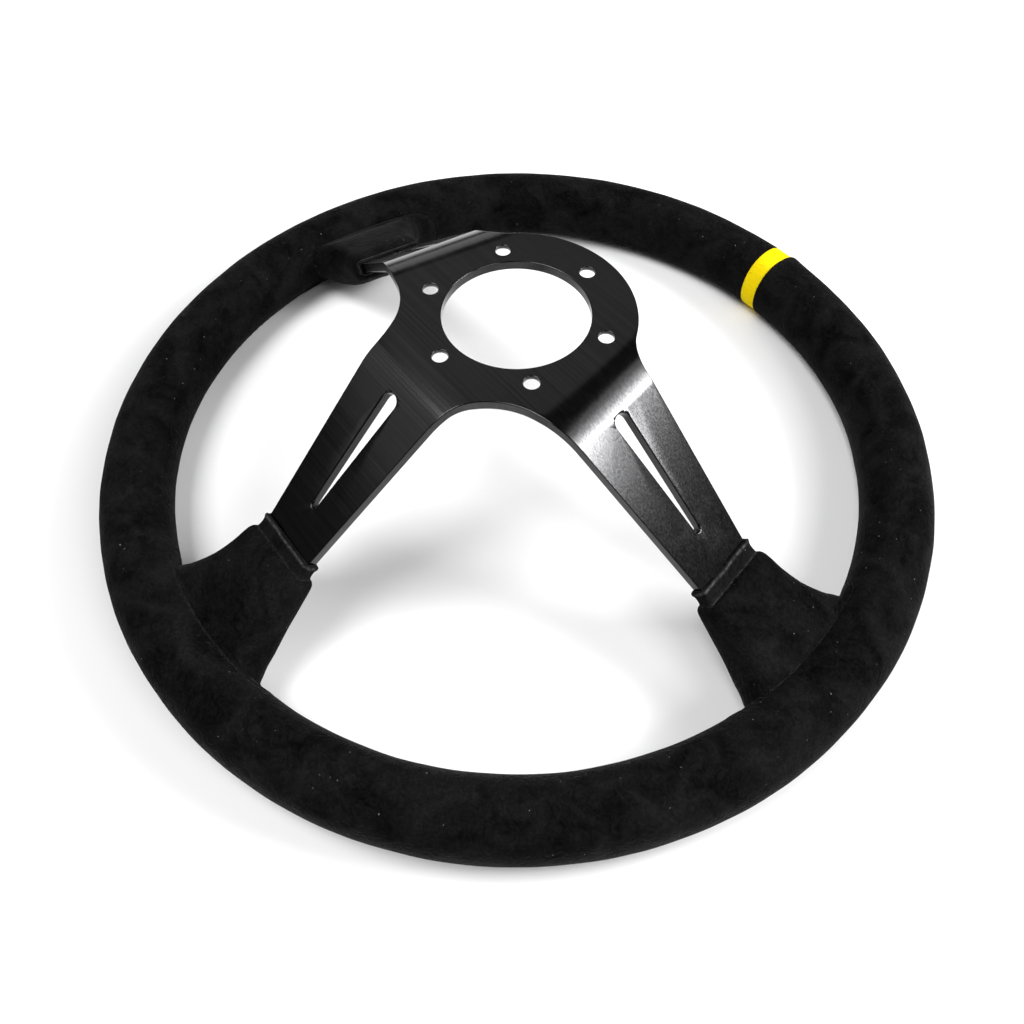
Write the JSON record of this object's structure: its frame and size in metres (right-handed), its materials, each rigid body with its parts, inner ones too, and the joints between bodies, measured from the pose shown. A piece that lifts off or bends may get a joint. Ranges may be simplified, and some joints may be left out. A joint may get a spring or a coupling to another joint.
{
  "type": "deep-dish steering wheel",
  "caption": "Deep-dish rally steering wheel: black bent spoke plate with slotted arms, suede-covered rim and boots, yellow centre mark.",
  "frame": {"origin": "on the wheel's axis, in the plane that the front of the rim rests on", "axes": "+Z along the axis towards the steering column, +Y towards the yellow 12 o'clock mark"},
  "size_m": [0.35, 0.3499, 0.0907],
  "materials": {
    "anodised_plate": "black anodised aluminium, satin, with a fine brushed grain",
    "ring_steel": "zinc-plated steel strip",
    "foam": "moulded soft polyurethane foam",
    "black_suede": "black suede with a soft mottled nap",
    "yellow_suede": "yellow suede band",
    "cuff_suede": "folded black suede strip",
    "rivet_aluminium": "plain aluminium",
    "thread": "waxed black polyester thread"
  },
  "bodies": {
    "root": {"spoke_plate": "anodised_plate", "core_ring": "ring_steel", "foam_grip": "foam", "rim_cover": "black_suede", "centre_mark": "yellow_suede", "boot_right": "black_suede", "boot_left": "black_suede", "boot_bottom": "black_suede", "cuff_right": "cuff_suede", "cuff_left": "cuff_suede", "cuff_bottom": "cuff_suede", "rivet_right_1": "rivet_aluminium", "rivet_right_2": "rivet_aluminium", "rivet_left_1": "rivet_aluminium", "rivet_left_2": "rivet_aluminium", "rivet_bottom_1": "rivet_aluminium", "rivet_bottom_2": "rivet_aluminium", "rim_thread_1": "thread", "rim_thread_2": "thread", "rim_thread_3": "thread", "rim_thread_4": "thread", "boot_thread_right": "thread", "boot_thread_left": "thread", "boot_thread_bottom": "thread"}
  },
  "joints": []
}
